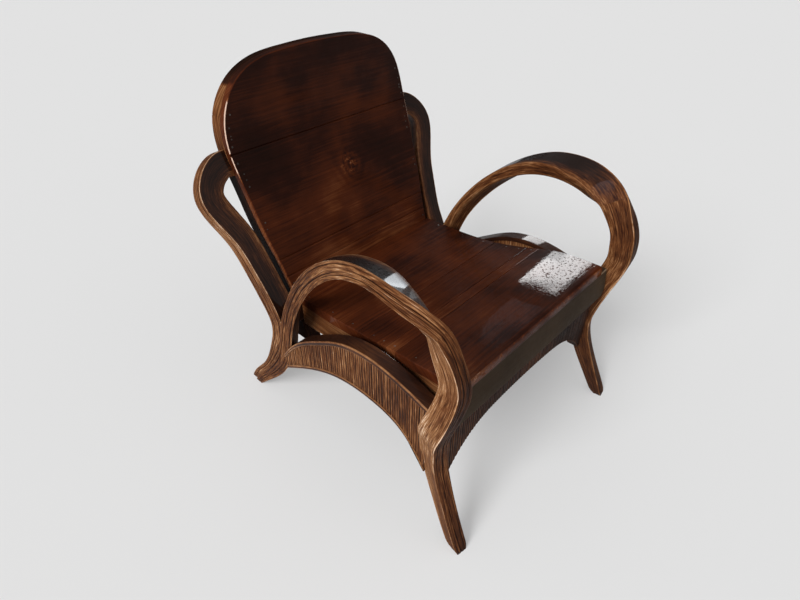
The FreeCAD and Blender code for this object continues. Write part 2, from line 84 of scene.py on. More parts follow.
# Rows of an arm loop: half width, depth, height, roll, face, rest, under, lift
ARM = (
    (0.906, 0.990, -0.045, 0, 0.36, 0.49, 0.49, 0.10),
    (0.906, 0.944, 0.073, 0, 0.48, 0.50, 0.50, 0.12),
    (0.906, 0.876, 0.219, 0, 0.62, 0.51, 0.51, 0.16),
    (0.906, 0.788, 0.455, 0, 0.84, 0.52, 0.52, 0.25),
    (0.906, 0.744, 0.724, 0, 0.83, 0.51, 0.51, 0.33),
    (0.909, 0.658, 1.113, 0, 0.77, 0.49, 0.49, 0.40),
    (0.925, 0.594, 1.402, 0, 0.76, 0.51, 0.51, 0.32),
    (0.947, 0.517, 1.657, 3, 0.74, 0.56, 0.56, 0.20),
    (0.969, 0.421, 1.872, 10, 0.69, 0.70, 0.70, 0.05),
    (0.987, 0.347, 1.966, 17, 0.64, 0.85, 0.85, -0.02),
    (0.997, 0.278, 1.990, 24, 0.58, 0.97, 0.97, 0.01),
    (0.998, 0.214, 1.968, 33, 0.59, 1.00, 1.00, 0.02),
    (0.978, 0.160, 1.915, 43, 0.61, 1.00, 0.98, -0.02),
    (0.950, 0.119, 1.845, 54, 0.60, 0.97, 0.90, -0.05),
    (0.925, 0.090, 1.760, 62, 0.58, 0.92, 0.83, -0.03),
    (0.909, 0.072, 1.660, 72, 0.60, 0.88, 0.77, 0.00),
    (0.902, 0.053, 1.520, 83, 0.59, 0.85, 0.72, 0.00),
    (0.897, 0.035, 1.353, 86, 0.61, 0.84, 0.70, 0.00),
    (0.891, 0.029, 1.186, 86, 0.70, 0.82, 0.70, 0.00),
    (0.919, 0.033, 1.005, 83, 0.69, 0.80, 0.72, 0.00),
    (0.934, 0.048, 0.898, 82, 0.65, 0.79, 0.76, 0.00),
    (0.920, 0.068, 0.781, 80, 0.68, 0.77, 0.80, 0.00),
    (0.872, 0.086, 0.651, 76, 0.67, 0.72, 0.80, 0.00),
    (0.844, 0.093, 0.521, 74, 0.67, 0.66, 0.76, 0.00),
    (0.847, 0.079, 0.404, 72, 0.64, 0.61, 0.72, 0.00),
    (0.859, 0.051, 0.260, 74, 0.62, 0.53, 0.59, 0.00),
    (0.870, 0.019, 0.117, 78, 0.62, 0.45, 0.47, 0.00),
    (0.875, -0.008, -0.005, 82, 0.62, 0.38, 0.37, 0.00),
    (0.878, -0.020, -0.060, 82, 0.62, 0.37, 0.35, 0.00),
)
SCARF = 14
# Rows of an upright: half width, height, wide, thick
UPRIGHT_LOOP = (
    (0.770, 1.597, 1.25, 1.00), (0.859, 1.597, 1.22, 1.00), (0.944, 1.572, 1.20, 1.00),
    (1.012, 1.529, 1.17, 1.00), (1.056, 1.480, 1.15, 1.00), (1.076, 1.423, 1.14, 1.02),
    (1.066, 1.366, 1.14, 1.06), (1.023, 1.284, 1.13, 1.18), (0.969, 1.185, 1.10, 1.28),
    (0.935, 1.065, 1.06, 1.36), (0.902, 0.860, 1.05, 1.42),
)
UPRIGHT_FOOT = (
    (0.899, 0.744, 0.724, 1.07, 1.34), (0.893, 0.788, 0.455, 0.97, 0.94),
    (0.893, 0.876, 0.219, 0.84, 0.54), (0.893, 0.944, 0.073, 0.78, 0.55),
    (0.893, 0.990, -0.045, 0.74, 0.46),
)
BACK_OUTLINE = (
    (0.700, 0.700), (0.712, 0.860), (0.728, 1.004), (0.762, 1.170), (0.787, 1.375),
    (0.806, 1.567), (0.794, 1.700), (0.740, 1.820), (0.634, 1.915), (0.469, 1.974),
    (0.234, 1.995), (0.000, 2.000),
)
SEAT_TOP = ((0.090, 0.998), (0.195, 0.991), (0.289, 0.964), (0.376, 0.925),
            (0.472, 0.892), (0.579, 0.872), (0.680, 0.866), (0.800, 0.865))
SEAT_PLAN = ((0.800, 0.090), (0.800, 0.230), (0.770, 0.345), (0.742, 0.470), (0.726, 0.765))
APRON_TOP = ((0.745, 0.500), (0.678, 0.656), (0.551, 0.824), (0.450, 0.920),
             (0.340, 0.952), (0.208, 0.910), (0.085, 0.830))
APRON_BOTTOM = ((0.745, 0.390), (0.615, 0.536), (0.485, 0.636), (0.351, 0.654),
                (0.240, 0.596), (0.150, 0.400))
FRONT_ARCH = ((0.000, 0.598), (0.280, 0.590), (0.480, 0.565), (0.630, 0.507),
              (0.730, 0.437), (0.840, 0.320))


def level(share, top):
    if share <= 1:
        return share * seat_height
    return seat_height + (share - 1) * (top - seat_height)


# Smooth lines
class Line:
    """Natural cubic line through points, by distance along them or by given distances."""

    def __init__(self, points, distances=None):
        self.p = np.array(points, float)
        if distances is None:
            steps = np.linalg.norm(np.diff(self.p, axis=0), axis=1)
            distances = np.concatenate([[0], np.cumsum(steps)])
        self.t = distances
        n = len(self.t)
        h = np.diff(self.t)
        a = np.zeros((n, n))
        b = np.zeros((n, self.p.shape[1]))
        a[0, 0] = a[-1, -1] = 1
        for i in range(1, n - 1):
            a[i, i - 1] = h[i - 1]
            a[i, i] = 2 * (h[i - 1] + h[i])
            a[i, i + 1] = h[i]
            b[i] = 6 * ((self.p[i + 1] - self.p[i]) / h[i] - (self.p[i] - self.p[i - 1]) / h[i - 1])
        self.m = np.linalg.solve(a, b)
        self.h = h

    def find(self, t):
        """The span of each distance, its length and how far both its ends are."""
        t = np.clip(np.atleast_1d(t), 0, self.t[-1])
        i = np.clip(np.searchsorted(self.t, t, side="right") - 1, 0, len(self.h) - 1)
        h = self.h[i][:, None]
        u = (t - self.t[i])[:, None]
        return i, h, u, h - u

    def at(self, t):
        i, h, u, v = self.find(t)
        return (self.m[i] * v ** 3 + self.m[i + 1] * u ** 3) / (6 * h) + (
            self.p[i] / h - self.m[i] * h / 6) * v + (self.p[i + 1] / h - self.m[i + 1] * h / 6) * u

    def slope(self, t):
        i, h, u, v = self.find(t)
        s = (-self.m[i] * v ** 2 + self.m[i + 1] * u ** 2) / (2 * h) + (
            self.p[i + 1] - self.p[i]) / h - (self.m[i + 1] - self.m[i]) * h / 6
        return s / np.linalg.norm(s, axis=1)[:, None]

    def even(self, count):
        return self.at(np.linspace(0, self.t[-1], count))


def unit(v):
    return v / np.linalg.norm(v, axis=-1, keepdims=True)


# Meshes
def make(name, points, faces, uvs, tone, slot, node, side=1, flat=40):
    """A mesh piece from millimetre points. tone holds the values of wear, edge and deep
    of each point, which its material reads."""
    mesh = bpy.data.meshes.new(name)
    if side < 0:
        faces = [f[::-1] for f in faces]
        uvs = [u[::-1] for u in uvs]
    places = np.array(points, float)
    places[:, 1] -= centre_y
    places[:, 0] *= side
    mesh.from_pydata([tuple(p) for p in places * 0.001], [], faces)
    layer = mesh.uv_layers.new(name="grain")
    layer.data.foreach_set("uv", [c for face in uvs for uv in face for c in uv])
    for key, values in tone.items():
        attr = mesh.attributes.new(key, "FLOAT", "POINT")
        attr.data.foreach_set("value", [float(v) for v in values])
    mesh.update()
    for polygon in mesh.polygons:
        polygon.use_smooth = True
    mesh.set_sharp_from_angle(angle=math.radians(flat))
    ob = bpy.data.objects.new(name, mesh)
    bpy.context.scene.collection.objects.link(ob)
    ob.data.materials.append(materials[slot])
    mod = ob.modifiers.new("even", "WEIGHTED_NORMAL")
    mod.keep_sharp = True
    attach(ob, "root")
    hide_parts(node)
    return ob


def close_up(ob, stands=False):
    """Turns all faces outward. What lies under the floor is cut off a piece that stands on
    it, and the cut is closed."""
    bm = bmesh.new()
    bm.from_mesh(ob.data)
    if stands:
        geom = bm.verts[:] + bm.edges[:] + bm.faces[:]
        cut = bmesh.ops.bisect_plane(bm, geom=geom, plane_co=(0, 0, 0), plane_no=(0, 0, -1), clear_outer=True)
        edges = [e for e in cut["geom_cut"] if isinstance(e, bmesh.types.BMEdge)]
        bmesh.ops.holes_fill(bm, edges=edges)
    bmesh.ops.recalc_face_normals(bm, faces=bm.faces[:])
    bm.to_mesh(ob.data)
    bm.free()


def reed_row(t, count, phase):
    """Shares across a reeded face and depth shares at a distance along it.
    The valleys wander a little and change their depth, as worked by hand."""
    marks, depths = [0.0], [0.3]
    for k in range(1, count):
        wander = 0.20 * math.sin(t / 97 + 2.3 * k + phase) + 0.10 * math.sin(t / 33 + 4.1 * k + phase)
        marks.append((k + wander) / count)
        depths.append(0.50 + 0.38 * math.sin(t / 71 + 3.7 * k + phase) + 0.10 * math.sin(t / 17 + 1.3 * k))
    marks.append(1.0)
    depths.append(0.3)
    rows = []
    for k in range(count):
        for step in range(8):
            s = step / 8
            u = abs(2 * s - 1)
            depth = depths[k] if s < 0.5 else depths[k + 1]
            rows.append((marks[k] + (marks[k + 1] - marks[k]) * s, depth * u ** 4))
    rows.append((1.0, depths[-1]))
    return rows


def limb_ring(ab, ad, cd, bc, face_out, row, groove, radius):
    """Points of one section with groove depth, edge share and face number of each. The edge share pales the
    edges, as wear and partly as a painted highlight.
    Face 0 is reeded, 1 and 3 are beside it, 2 is opposite to it, and 3 is the armrest's top."""
    pts, deep, edge, kind = [], [], [], []

    def add(point, number, depth=0.0, lit=0.0):
        pts.append(point)
        deep.append(depth)
        edge.append(lit)
        kind.append(number)

    def rounded(a, b, c, number):
        u = unit(a - b)
        v = unit(c - b)
        for s in (0.0, 0.33, 0.67, 1.0):
            add(b + u * radius * (1 - s) ** 2 + v * radius * s ** 2, number, lit=0.5)

    for index, (across, d) in enumerate(row):
        # The reeded face's outer edges and the corners beside it are paler: worn edges, partly a painted
        # highlight along the ridges
        lit = 1.0 if index in (0, len(row) - 1) else 0.0
        add(ab + (ad - ab) * across - face_out * (groove * d), 0, d, lit)
    add(ad + unit(cd - ad) * radius * 0.35, 1, lit=1.0)
    add(ad + unit(cd - ad) * radius, 1)
    add(ad + (cd - ad) * 0.5, 1)
    rounded(ad, cd, bc, 1)
    add(cd + (bc - cd) * 0.5, 2)
    rounded(cd, bc, ab, 2)
    add(bc + (ab - bc) * 0.5, 3)
    add(ab + unit(bc - ab) * radius, 3)
    add(ab + unit(bc - ab) * radius * 0.35, 3, lit=1.0)
    return pts, deep, edge, kind


def loft(name, rings, tone, lengths, slot, node, side):
    """Closed sections joined along a limb, with the grain along it."""
    rings = np.array(rings)
    n, m = rings.shape[:2]
    girth = np.linalg.norm(np.roll(rings, -1, axis=1) - rings, axis=2)[n // 2]
    around = np.concatenate([[0], np.cumsum(girth)]) * 0.001
    faces, uvs = [], []
    for i in range(n - 1):
        a, b = lengths[i] * 0.001, lengths[i + 1] * 0.001
        for j in range(m):
            k = (j + 1) % m
            faces.append((i * m + j, i * m + k, (i + 1) * m + k, (i + 1) * m + j))
            uvs.append(((a, around[j]), (a, around[j + 1]), (b, around[j + 1]), (b, around[j])))
    for i in (0, n - 1):
        faces.append(tuple(i * m + j for j in range(m)))
        uvs.append([(around[j] * 0.3, around[j]) for j in range(m)])
    close_up(make(name, rings.reshape(-1, 3), faces, uvs, tone, slot, node, side), True)


def toe(points, height):
    """Draws the lowest part of a foot in, so that its end is rounded."""
    p = np.array(points)
    middle = p.mean(axis=0)
    share = np.clip((height - p[:, 2]) / height, 0, 1)
    scale = 1 - 0.28 * share[:, None] ** 2
    p[:, :2] = middle[:2] + (p[:, :2] - middle[:2]) * scale
    return p


def arm_rows():
    """The limb's line and its four edges: ridge, ad, cd and bc go round the section."""
    ridge = np.array([(r[0] * half_width, r[1] * depth_all, level(r[2], arm_height)) for r in ARM])
    line = Line(ridge)
    tangent = line.slope(line.t)
    roll = np.radians([r[3] for r in ARM])[:, None]
    side = unit(np.array([1.0, 0, 0]) - tangent * tangent[:, :1])
    outside = np.cross(tangent, side)
    face_out = side * np.cos(roll) + outside * np.sin(roll)
    rest_out = outside * np.cos(roll) - side * np.sin(roll)
    face = np.array([r[4] for r in ARM])[:, None] * arm_face
    rest = np.array([r[5] for r in ARM])[:, None] * arm_rest
    under = np.array([r[6] for r in ARM])[:, None] * arm_rest
    lift = np.array([r[7] for r in ARM])[:, None] * arm_face
    ad = ridge - rest_out * face
    cd = ad - face_out * under + rest_out * lift
    bc = ridge - face_out * rest
    return line, ridge, ad, cd, bc


def limb(name, node, side, line, corners, ts, reeds_of, radius, toe_height, wear, edge_factor=1.0):
    """One reeded limb along a line, from the four edges of its section. reeds_of holds the
    reeds' count, phase and groove depth, and wear gives a face's wear at a distance."""
    count, phase, groove = reeds_of
    a, d, c, b = [Line(v, line.t).at(ts) for v in corners]
    out = unit(np.cross(line.slope(ts), unit(a - d)))
    out = out * np.sign((out * (a - b)).sum(1, keepdims=True))
    rings, tone = [], {"deep": [], "edge": [], "wear": []}
    for i, t in enumerate(ts):
        row = reed_row(t, count, phase)
        pts, deep, edge, kind = limb_ring(a[i], d[i], c[i], b[i], out[i], row, groove, radius)
        rings.append(toe(pts, toe_height))
        tone["deep"] += deep
        tone["edge"] += [edge_factor * lit for lit in edge]
        tone["wear"] += [wear(k, t) for k in kind]
    loft(name, rings, tone, ts, "limb_wood", node, side)


def wear_at(kind, station):
    """How far the stain is worn on each face of an arm loop, by its station."""
    tables = {
        0: ((0, 0.46), (4, 0.48), (7, 0.50), (9, 0.58), (12, 0.54), (15, 0.36), (20, 0.32), (28, 0.40)),
        1: ((0, 0.34), (11, 0.34), (13, 0.56), (20, 0.56), (24, 0.46), (28, 0.36)),
        2: ((0, 0.30), (4, 0.42), (9, 0.34), (14, 0.34), (20, 0.28), (28, 0.16)),
        3: ((0, 0.10), (5, -0.05), (7, -0.15), (10, -0.12), (11.5, 0.14), (14, 0.38), (20, 0.42), (28, 0.22)),
    }
    return float(np.interp(station, *zip(*tables[kind])))


def limbs(side, tag):
    """An arm loop: the bow and the front leg, with a scarf joint between them."""
    line, *corners = arm_rows()

    def worn(kind, t):
        return wear_at(kind, float(np.interp(t, line.t, np.arange(len(line.t)))))

    split = line.t[SCARF]
    for name, start, end, node in (("bow_", 0, split - scarf_gap, "arm_bow_"),
                                   ("leg_", split + scarf_gap, line.t[-1], "front_leg_")):
        ts = np.linspace(start, end, int((end - start) / 6))
        limb(name + tag, node + tag, side, line, corners, ts, (5, 0.7, 2.0), 4.0, 16, worn)


def uprights(side, tag):
    """A rear upright from its foot to the end of its loop beside the back."""
    foot = UPRIGHT_FOOT[0]
    rows = []
    for wide, high, w, t in UPRIGHT_LOOP:
        z = level(high, back_height)
        y = foot[1] * depth_all + (z - foot[2] * seat_height) * math.tan(upright_lean)
        rows.append(((wide * half_width, y, z), w, t))
    for wide, deep_, high, w, t in UPRIGHT_FOOT:
        rows.append(((wide * half_width, deep_ * depth_all, level(high, back_height)), w, t))
    ridge = np.array([r[0] for r in rows])
    line = Line(ridge)
    tangent = line.slope(line.t)
    plane_front = np.array([0, -math.cos(upright_lean), math.sin(upright_lean)])
    front = unit(plane_front - tangent * (tangent @ plane_front)[:, None])
    out = np.cross(front, tangent)
    face = np.array([r[2] for r in rows])[:, None] * upright_thick
    rest = np.array([r[1] for r in rows])[:, None] * upright_width
    ad = ridge - front * face
    cd = ad - out * rest
    bc = ridge - out * rest
    ts = np.linspace(0, line.t[-1], int(line.t[-1] / 6))
    shares = (0.56, 0.25, 0.20, 0.14)
    # edge_factor pales the uprights' edges more: wear and painted highlight
    limb("upright_" + tag, "rear_upright_" + tag, side, line, (ridge, ad, cd, bc), ts, (4, 2.9, 2.2), 3.0, 12,
         lambda kind, t: shares[kind], edge_factor=1.6)


def area_of(p):
    """A closed outline's area, below zero where it runs clockwise."""
    return 0.5 * np.sum(p[:, 0] * np.roll(p[:, 1], -1) - np.roll(p[:, 0], -1) * p[:, 1])


def inset(outline, distance):
    """The closed outline moved inward by a distance."""
    p = np.array(outline, float)
    before = unit(p - np.roll(p, 1, axis=0))
    after = unit(np.roll(p, -1, axis=0) - p)
    turn = 1 if area_of(p) > 0 else -1
    n1 = np.stack([-before[:, 1], before[:, 0]], 1) * turn
    n2 = np.stack([-after[:, 1], after[:, 0]], 1) * turn
    mid = unit(n1 + n2)
    scale = 1 / np.maximum((mid * n1).sum(1), 0.35)
    return p + mid * (distance * scale)[:, None]


def plate(name, outline, thick, radius, place, cuts, slot, node, side=1, shape=None, uv=None, back_radius=1.0,
          flat=40, wear=None, edge_share=1.0, lit=None):
    """A board from a flat outline (a, b) and its depth d, with rounded edges. place maps
    (a, b, d) to a point, cuts lists (axis, value), and shape gives the change of d and the
    depth in a groove. wear and lit give how worn and how pale points are, and edge_share is
    how pale the front edge is without lit."""
    outline = np.array(outline, float)
    if area_of(outline) < 0:
        outline = outline[::-1]
    rings = []
    for k in range(5):
        angle = math.pi / 2 * k / 4
        rings.append((inset(outline, radius * (1 - math.sin(angle))), radius * (1 - math.cos(angle))))
    for k in range(3):
        angle = math.pi / 2 * k / 2
        rings.append((inset(outline, back_radius * (1 - math.cos(angle))),
                      thick - back_radius * (1 - math.sin(angle))))
    bm = bmesh.new()
    levels = []
    for ring, d in rings:
        levels.append([bm.verts.new((p[0], p[1], d)) for p in ring])
    n = len(outline)
    bm.faces.new(levels[0][::-1])
    bm.faces.new(levels[-1])
    for a, b in zip(levels, levels[1:]):
        for i in range(n):
            j = (i + 1) % n
            bm.faces.new((a[i], a[j], b[j], b[i]))
    for axis, value in cuts:
        plane = Vector((0, 0, 0))
        plane[axis] = 1
        geom = bm.verts[:] + bm.edges[:] + bm.faces[:]
        bmesh.ops.bisect_plane(bm, geom=geom, plane_co=plane * value, plane_no=plane)
    bm.verts.index_update()
    flat_points = np.array([v.co for v in bm.verts])
    faces = [tuple(v.index for v in f.verts) for f in bm.faces]
    bm.free()
    moved, deep = flat_points.copy(), np.zeros(len(flat_points))
    if shape is not None:
        change, deep = shape(flat_points)
        moved[:, 2] += change
    points = np.array([place(*p) for p in moved])
    coords = [uv(*p) if uv else (p[0] * 0.001, p[1] * 0.001) for p in flat_points]
    uvs = [[coords[i] for i in f] for f in faces]
    front_edge = (flat_points[:, 2] < radius * 0.95) & (flat_points[:, 2] > radius * 0.02)
    edge = lit(flat_points, front_edge) if lit else np.where(front_edge, edge_share, 0.0)
    worn = wear(points) if wear else np.zeros(len(points))
    ob = make(name, points, faces, uvs, {"deep": deep, "edge": edge, "wear": worn}, slot, node, side, flat)
    close_up(ob)


# Materials
def colour(r, g, b):
    """A screen colour in 0 to 255 as linear light."""
    out = []
    for c in (r, g, b):
        c /= 255
        out.append(c / 12.92 if c <= 0.04045 else ((c + 0.055) / 1.055) ** 2.4)
    return tuple(out) + (1.0,)


def wood(name, tones, offset=0.0, streak=0.55, fleck=0.22, broad=0.35, rough=0.62, coat=0.12,
         coat_rough=0.10, specular=0.16, bump=0.35, knot=None, scuffed=0.0, varnish=0.0, pits=0.0):
    """Stained and varnished wood. One tone value, from bare dark stain to worn pale wood,
    runs through a ramp of colours. Streaks follow the grain, and the mesh's own values
    add wear, pale edges that are partly wear and partly a painted highlight, and dark
    grooves that are partly stain and partly painted shade. varnish thickens the coat on
    faces that aren't worn, pits wears it away in flecks, scuffed adds pale scuffs along
    edges, and knot is the place of a knot, whose rings are grain and whose pale flecked
    core is a painted highlight."""
    mat = bpy.data.materials.get(name) or bpy.data.materials.new(name)
    mat.use_nodes = True
    nodes, links = mat.node_tree.nodes, mat.node_tree.links
    nodes.clear()

    def node(kind, **values):
        item = nodes.new(kind)
        for key, value in values.items():
            setattr(item, key, value)
        return item

    def fill(socket, value):
        if isinstance(value, (int, float, tuple)):
            socket.default_value = value
        else:
            links.new(value, socket)

    def calc(op, a, b=0.0, clamp=False):
        item = node("ShaderNodeMath", operation=op, use_clamp=clamp)
        fill(item.inputs[0], a)
        fill(item.inputs[1], b)
        return item.outputs[0]

    def product(a, b, clamp=False):
        return calc("MULTIPLY", a, b, clamp)

    def total(*values):
        result = values[0]
        for value in values[1:]:
            result = calc("ADD", result, value)
        return result

    def scaled(value, middle, factor):
        return product(calc("SUBTRACT", value, middle), factor)

    def noise(vector, scale, detail=4.0, rough_share=0.55):
        item = node("ShaderNodeTexNoise")
        item.inputs["Scale"].default_value = scale
        item.inputs["Detail"].default_value = detail
        item.inputs["Roughness"].default_value = rough_share
        links.new(vector, item.inputs["Vector"])
        return item.outputs[0]

    def stretched(vector, x, y):
        item = node("ShaderNodeMapping")
        item.inputs["Scale"].default_value = (x, y, 1.0)
        links.new(vector, item.inputs[0])
        return item.outputs[0]

    def ramp(value, low, high):
        item = node("ShaderNodeMapRange", clamp=True)
        item.inputs[1].default_value = low
        item.inputs[2].default_value = high
        links.new(value, item.inputs[0])
        return item.outputs[0]

    def bumps(strength, distance, height):
        item = node("ShaderNodeBump")
        item.inputs["Strength"].default_value = strength
        item.inputs["Distance"].default_value = distance
        links.new(height, item.inputs["Height"])
        return item.outputs[0]

    uv = node("ShaderNodeUVMap", uv_map="grain").outputs[0]
    obj = node("ShaderNodeTexCoord").outputs["Object"]
    deep, edge, wear = [node("ShaderNodeAttribute", attribute_name=key).outputs["Fac"]
                        for key in ("deep", "edge", "wear")]

    bend = node("ShaderNodeCombineXYZ")
    links.new(product(noise(stretched(uv, 4.0, 9.0), 1.0, 2.0), 0.014), bend.inputs[1])
    moved = node("ShaderNodeVectorMath", operation="ADD")
    links.new(uv, moved.inputs[0])
    links.new(bend.outputs[0], moved.inputs[1])
    grain = noise(stretched(moved.outputs[0], 5.0, 190.0), 1.0, 4.0, 0.6)
    fine = noise(stretched(moved.outputs[0], 28.0, 620.0), 1.0, 3.0, 0.6)
    cloud = noise(obj, 6.0, 3.0, 0.5)
    scuff = noise(obj, 90.0, 5.0, 0.7)

    lively = calc("ADD", product(wear, 0.9), 0.45)
    streaks = total(scaled(grain, 0.5, streak * 2), scaled(fine, 0.5, fleck * 2))
    tone = total(wear, offset, product(streaks, lively), scaled(cloud, 0.5, broad * 2))
    # Pale edges: worn edges, and partly a painted highlight along them
    tone = total(tone, product(edge, calc("ADD", product(scuff, 0.6), 0.10)))
    if scuffed:
        tone = total(tone, product(product(edge, ramp(scuff, 0.52, 0.60)), scuffed))
    if knot:
        away = node("ShaderNodeVectorMath", operation="DISTANCE")
        links.new(obj, away.inputs[0])
        away.inputs[1].default_value = knot
        uneven = calc("ADD", away.outputs["Value"], product(cloud, 0.16))
        rings = calc("SINE", product(uneven, 260.0))
        near = calc("SUBTRACT", 1.0, ramp(away.outputs["Value"], 0.008, 0.070))
        tone = total(tone, product(product(near, rings), 0.07))
        # The knot's pale flecked core is a painted highlight; the rings above are the knot's grain
        knot_glint = calc("SUBTRACT", 1.0, ramp(away.outputs["Value"], 0.008, 0.034))
        tone = total(tone, product(knot_glint, product(ramp(scuff, 0.47, 0.60), 0.42)))
    # Grooves are darker by their depth: partly stain kept in the hollows, partly painted shade
    tone = calc("SUBTRACT", tone, product(deep, 0.55), True)

    colours = node("ShaderNodeValToRGB")
    stops = colours.color_ramp.elements
    places = (0.0, 0.25, 0.5, 0.78, 1.0)
    stops[0].position = places[0]
    stops[1].position = places[-1]
    for position in places[1:-1]:
        stops.new(position)
    for stop, value in zip(stops, tones):
        stop.color = value
    links.new(tone, colours.inputs[0])
    # The deepest part of a groove goes to near black: painted shade in the reeds' valleys
    base = node("ShaderNodeMix", data_type="RGBA")
    fill(base.inputs[0], product(product(deep, deep), 0.92, True))
    fill(base.inputs[6], colours.outputs[0])
    fill(base.inputs[7], (0.0035, 0.0025, 0.002, 1))

    shader = node("ShaderNodeBsdfPrincipled")
    links.new(base.outputs[2], shader.inputs["Base Color"])
    worn = ramp(tone, 0.3, 0.9)
    links.new(total(rough, scaled(scuff, 0.5, 0.5), product(worn, 0.18)), shader.inputs["Roughness"])
    shader.inputs["Specular IOR Level"].default_value = specular
    if varnish:
        dark_face = calc("SUBTRACT", 1.0, ramp(wear, 0.08, 0.34))
        links.new(total(coat, product(dark_face, varnish)), shader.inputs["Coat Weight"])
    elif pits:
        whole_coat = product(ramp(noise(obj, 170.0, 3.0, 0.65), 0.40, 0.45), ramp(cloud, 0.30, 0.50))
        links.new(product(total(0.12, product(whole_coat, 0.88)), coat), shader.inputs["Coat Weight"])
    else:
        shader.inputs["Coat Weight"].default_value = coat
    shader.inputs["Coat Roughness"].default_value = coat_rough
    relief = total(product(grain, 0.6), product(fine, 0.3), product(scuff, 0.1))
    links.new(bumps(bump, 0.0006, relief), shader.inputs["Normal"])
    if pits:
        dents = total(ramp(noise(obj, 150.0, 3.0, 0.6), 0.36, 0.52), product(cloud, 1.2))
        links.new(bumps(pits, 0.0005, dents), shader.inputs["Coat Normal"])
    links.new(shader.outputs[0], node("ShaderNodeOutputMaterial").inputs[0])
    return mat


def shades(*values):
    return [colour(*value) for value in values]


limb_tones = shades((24, 12, 8), (50, 26, 15), (92, 54, 29), (148, 106, 70), (212, 184, 158))
board_tones = shades((20, 8, 4), (40, 16, 8), (74, 33, 14), (118, 68, 38), (205, 176, 158))
fascia_tones = shades((26, 20, 15), (46, 36, 27), (62, 50, 39), (92, 74, 56), (150, 130, 108))
iron_tones = shades((18, 13, 10), (32, 22, 16), (52, 36, 26), (110, 88, 70), (170, 150, 130))
finishes = {
    "limb_wood": dict(tones=limb_tones, streak=0.42, fleck=0.80, broad=0.30, coat=0.05, varnish=0.38,
                      coat_rough=0.07, specular=0.05),
    "reeded_rail_wood": dict(tones=limb_tones, streak=0.50, fleck=0.75, broad=0.40, coat=0.03, specular=0.08),
    "seat_wood": dict(tones=board_tones, offset=0.30, streak=0.45, fleck=0.20, broad=0.50, coat=0.32,
                      coat_rough=0.03, specular=0.02, bump=0.05, scuffed=0.4, pits=0.04),
    "back_wood": dict(tones=board_tones, offset=0.30, streak=0.45, fleck=0.20, broad=0.55, rough=0.60,
                      coat=0.05, specular=0.05, bump=0.10, knot=(0.030, 0.273, 0.531)),
    "hoop_wood": dict(tones=limb_tones, streak=0.60, fleck=0.50, broad=0.40, coat=0.02, specular=0.02),
    "fascia_wood": dict(tones=fascia_tones, offset=0.42, streak=0.25, fleck=0.12, broad=0.25, rough=0.60,
                        coat=0.01, specular=0.02, bump=0.08),
    "moulding_wood": dict(tones=limb_tones, offset=0.18, streak=0.40, fleck=0.35, broad=0.50, coat=0.25,
                          coat_rough=0.07, specular=0.06, bump=0.12),
    "frame_wood": dict(tones=limb_tones, offset=0.30, streak=0.45, fleck=0.40, broad=0.45, coat=0.03,
                       specular=0.06),
    "nail_iron": dict(tones=iron_tones, offset=0.45, streak=0.5, fleck=0.5, broad=0.8, rough=0.35, coat=0.3,
                      specular=0.4),
}
materials = {name: wood(name, **values) for name, values in finishes.items()}

# Pieces
for side, tag in SIDES:
    limbs(side, tag)
    uprights(side, tag)

seat_line = Line([(y * depth_all, z * seat_height) for y, z in SEAT_TOP])
seat_samples = seat_line.even(400)


def seat_z(y):
    """Height of the seat's top at a depth, run on straight at both ends."""
    if y < seat_samples[0, 0]:
        a, b = seat_samples[0], seat_samples[1]
    elif y > seat_samples[-1, 0]:
        a, b = seat_samples[-2], seat_samples[-1]
    else:
        return float(np.interp(y, seat_samples[:, 0], seat_samples[:, 1]))
    return float(a[1] + (y - a[0]) * (b[1] - a[1]) / (b[0] - a[0]))


plan_y = [y * depth_all for x, y in SEAT_PLAN]
plan_x = [x * half_width for x, y in SEAT_PLAN]


def plan_half(y):
    return float(np.interp(y, plan_y, plan_x))


low = math.radians(20.5)
back_foot_y = 0.768 * depth_all
back_foot_z = 0.820 * seat_height
bend_z = level(1.640, back_height)
high = math.radians(3.0)
reach = bend_radius * math.tan((low - high) / 2)
corner = np.array([back_foot_y + (bend_z - back_foot_z) * math.tan(low), bend_z])
low_way = np.array([math.sin(low), math.cos(low)])
arc_start = corner - low_way * reach
low_out = np.array([math.cos(low), -math.sin(low)])
high_out = np.array([math.cos(high), -math.sin(high)])
centre = arc_start - low_out * bend_radius
arc_end = centre + high_out * bend_radius


def back_front(z):
    """Depth of the back's front face at a height, with the way out behind it."""
    if z <= arc_start[1]:
        return back_foot_y + (z - back_foot_z) * math.tan(low), low_out
    if z >= arc_end[1]:
        return arc_end[0] + (z - arc_end[1]) * math.tan(high), high_out
    angle = math.asin(max(-1, min(1, (centre[1] - z) / bend_radius)))
    return centre[0] + bend_radius * math.cos(angle), np.array([math.cos(angle), -math.sin(angle)])


def on_back(x, z, d):
    y, out = back_front(z)
    return (x, y + d / out[0], z)


def back_face_point(z, d):
    """Point behind the front face at a height, straight out of it."""
    y, out = back_front(z)
    return np.array([y, z]) + out * d


# Seat boards
seams = [0.308 * depth_all, 0.348 * depth_all, 0.468 * depth_all]
front_y = 0.090 * depth_all
rear_y = back_foot_y + (seat_rear_z - back_foot_z) * math.tan(low) - seam
edges = [front_y] + seams + [rear_y]
seat_shares = (0.0, 0.12, 0.03, 0.06)
nose_radius = 9.0


def seat_nose(points):
    """Rounds the front edge of the seat."""
    away = np.clip(nose_radius - (points[:, 1] - front_y), 0, nose_radius)
    drop = nose_radius - np.sqrt(nose_radius ** 2 - away ** 2)
    return drop * np.clip(1 - points[:, 2] / board, 0, 1), np.zeros(len(points))


def nose_scuffs(points, _):
    """The varnish is rubbed off along the seat's front edge."""
    return np.where((points[:, 1] < front_y + 3) & (points[:, 2] < 3), 0.35, 0.0)


def on_seat(x, y, d):
    return (x, y, seat_z(y) - d)


